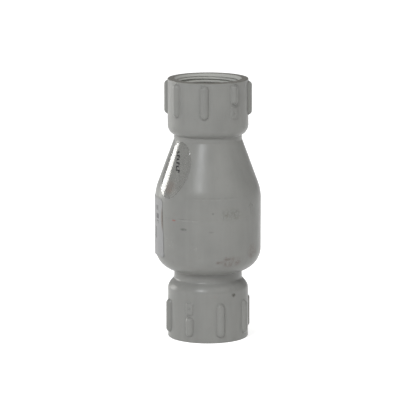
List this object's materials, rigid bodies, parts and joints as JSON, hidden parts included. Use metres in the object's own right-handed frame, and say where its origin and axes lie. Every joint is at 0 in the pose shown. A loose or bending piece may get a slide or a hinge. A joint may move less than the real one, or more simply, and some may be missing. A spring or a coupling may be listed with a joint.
{
  "type": "check valve",
  "caption": "In-line spring check valve with ribbed female taper-thread hubs, a domed chamber and a guided poppet that lifts off a moulded seat.",
  "frame": {"origin": "centre of the inlet mouth plane, at the bottom of the valve", "axes": "+Z along the valve axis in the flow direction, from the inlet mouth to the outlet mouth; -Y is the front"},
  "size_m": [0.0765, 0.0762, 0.1883],
  "materials": {
    "shell_pvc": "mid-grey moulded PVC, semi-gloss with faint flow marks and scuffs",
    "inner_pvc": "darker grey moulded PVC, satin",
    "acetal": "natural white acetal, turned or moulded smooth",
    "seal_rubber": "black EPDM rubber, matte",
    "stainless": "stainless steel, as formed",
    "spring_wire": "drawn stainless spring wire",
    "clear_film": "clear glossy film label with a plain printed mark",
    "label_paper": "white coated paper label with plain printed bars"
  },
  "bodies": {
    "valve_shell": {"inlet_body": "shell_pvc", "outlet_body": "shell_pvc", "guide_spider": "inner_pvc", "guide_bush": "acetal", "spring": "spring_wire", "spring_washer": "stainless", "oval_label": "clear_film", "paper_label": "label_paper"},
    "poppet_set": {"poppet": "inner_pvc", "poppet_stem": "inner_pvc", "poppet_seal": "seal_rubber", "seal_retainer": "inner_pvc", "retainer_screw": "stainless", "screw_washer": "stainless"}
  },
  "joints": [
    {"name": "poppet_lift", "type": "slide", "parent": "valve_shell", "child": "poppet_set", "axis": [0, 0, 1], "range_m": [0, 0.012], "stiffness_N_per_m": 570, "springref_m": -0.008, "deforming": ["spring"]}
  ]
}
